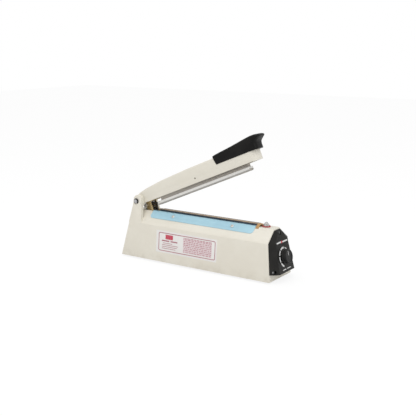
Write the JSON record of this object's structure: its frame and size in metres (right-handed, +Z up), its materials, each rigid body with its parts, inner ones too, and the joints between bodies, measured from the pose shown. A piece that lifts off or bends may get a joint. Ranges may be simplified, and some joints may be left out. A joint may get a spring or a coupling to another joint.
{
  "type": "hand impulse sealer",
  "caption": "Hand impulse sealer: housing with sealing bar and timer dial, hinged press arm with black grip and rocking press bar.",
  "frame": {"origin": "on the table under the middle of the whole part's box", "axes": "+X along the housing towards the timer dial, -Y the label side, +Z up"},
  "size_m": [0.3388, 0.078, 0.246],
  "materials": {
    "cream_paint": "satin",
    "black_moulding": "satin",
    "steel": "plain",
    "blackened_steel": "dark",
    "yellow_zinc": "yellow zinc",
    "brass": "dull",
    "rubber": "matt",
    "silicone": "matt",
    "aluminium": "extruded",
    "dark_bar": "satin",
    "tape": "matt",
    "cloth": "woven",
    "nichrome": "plain",
    "blue_paint": "satin",
    "label_film": "gloss",
    "red_plastic": "gloss",
    "clear_plastic": "clear",
    "lamp_plastic": "plain",
    "core_steel": "laminated",
    "winding": "taped",
    "board": "board",
    "parts_plastic": "plain",
    "spring_brass": "plain"
  },
  "bodies": {
    "base": {"base_housing": "cream_paint", "bottom_plate": "steel", "bottom_screws": "steel", "rubber_feet": "rubber", "control_hood": "black_moulding", "hood_screws": "steel", "timer_potentiometer": "parts_plastic", "potentiometer_nut": "steel", "lamp_flange": "red_plastic", "lamp_lens": "clear_plastic", "lamp_body": "lamp_plastic", "sealing_bar": "dark_bar", "seal_bar_screws": "steel", "insulating_tape": "tape", "element_terminals": "brass", "heating_element": "nichrome", "ptfe_cloth": "cloth", "front_cover_plate": "blue_paint", "rear_cover_plate": "blue_paint", "cover_plate_screws": "steel", "front_label": "label_film", "transformer_core": "core_steel", "transformer_winding": "winding", "transformer_strap": "steel", "transformer_screws": "steel", "timer_board": "board", "board_standoffs": "brass", "board_screws": "steel", "timer_components": "parts_plastic", "switch_bracket": "steel", "microswitch_body": "parts_plastic", "microswitch_screws": "steel", "cable_grommet": "rubber", "hinge_pin": "steel", "retaining_rings": "blackened_steel", "return_spring": "blackened_steel"},
    "arm": {"arm_shell": "cream_paint", "grip_screws": "steel", "handle_grip": "black_moulding", "trip_bracket": "yellow_zinc", "trip_screws": "steel", "trip_pin": "steel", "pivot_pin": "steel", "pivot_spacers": "parts_plastic"},
    "bar": {"press_bar": "aluminium", "silicone_strip": "silicone"},
    "dial": {"timer_dial": "black_moulding", "dial_shaft": "steel"},
    "lever": {"switch_lever": "spring_brass"},
    "button": {"switch_button": "parts_plastic"}
  },
  "joints": [
    {"name": "arm_pivot", "type": "hinge", "parent": "base", "child": "arm", "pos_m": [-0.1426, 0, 0.1053], "axis": [0, 1, 0], "range_deg": [0, 19.87], "stiffness_Nm_per_rad": 1.6, "springref_deg": -51.57, "deforming": ["return_spring"]},
    {"name": "bar_rock", "type": "hinge", "parent": "arm", "child": "bar", "pos_m": [-0.0167, 0, 0.15933], "axis": [0, 1, 0], "range_deg": [0, 3.17]},
    {"name": "dial_turn", "type": "hinge", "parent": "base", "child": "dial", "pos_m": [0.15752, 0, 0.041], "axis": [0.9729, 0, 0.2311], "range_deg": [-150, 150]},
    {"name": "lever_pivot", "type": "hinge", "parent": "base", "child": "lever", "pos_m": [-0.115, -0.0082, 0.0731], "axis": [0, -1, 0], "range_deg": [0, 5]},
    {"name": "button_slide", "type": "slide", "parent": "base", "child": "button", "axis": [0, 0, -1], "range_m": [0, 0.0007]}
  ],
  "couplings": [
    {"joint": "bar_rock", "follows": "arm_pivot", "ratio": 0.15965},
    {"joint": "lever_pivot", "follows": "arm_pivot", "ratio": 0.25166},
    {"joint": "button_slide", "follows": "arm_pivot", "m_per_rad": 0.0020186}
  ]
}
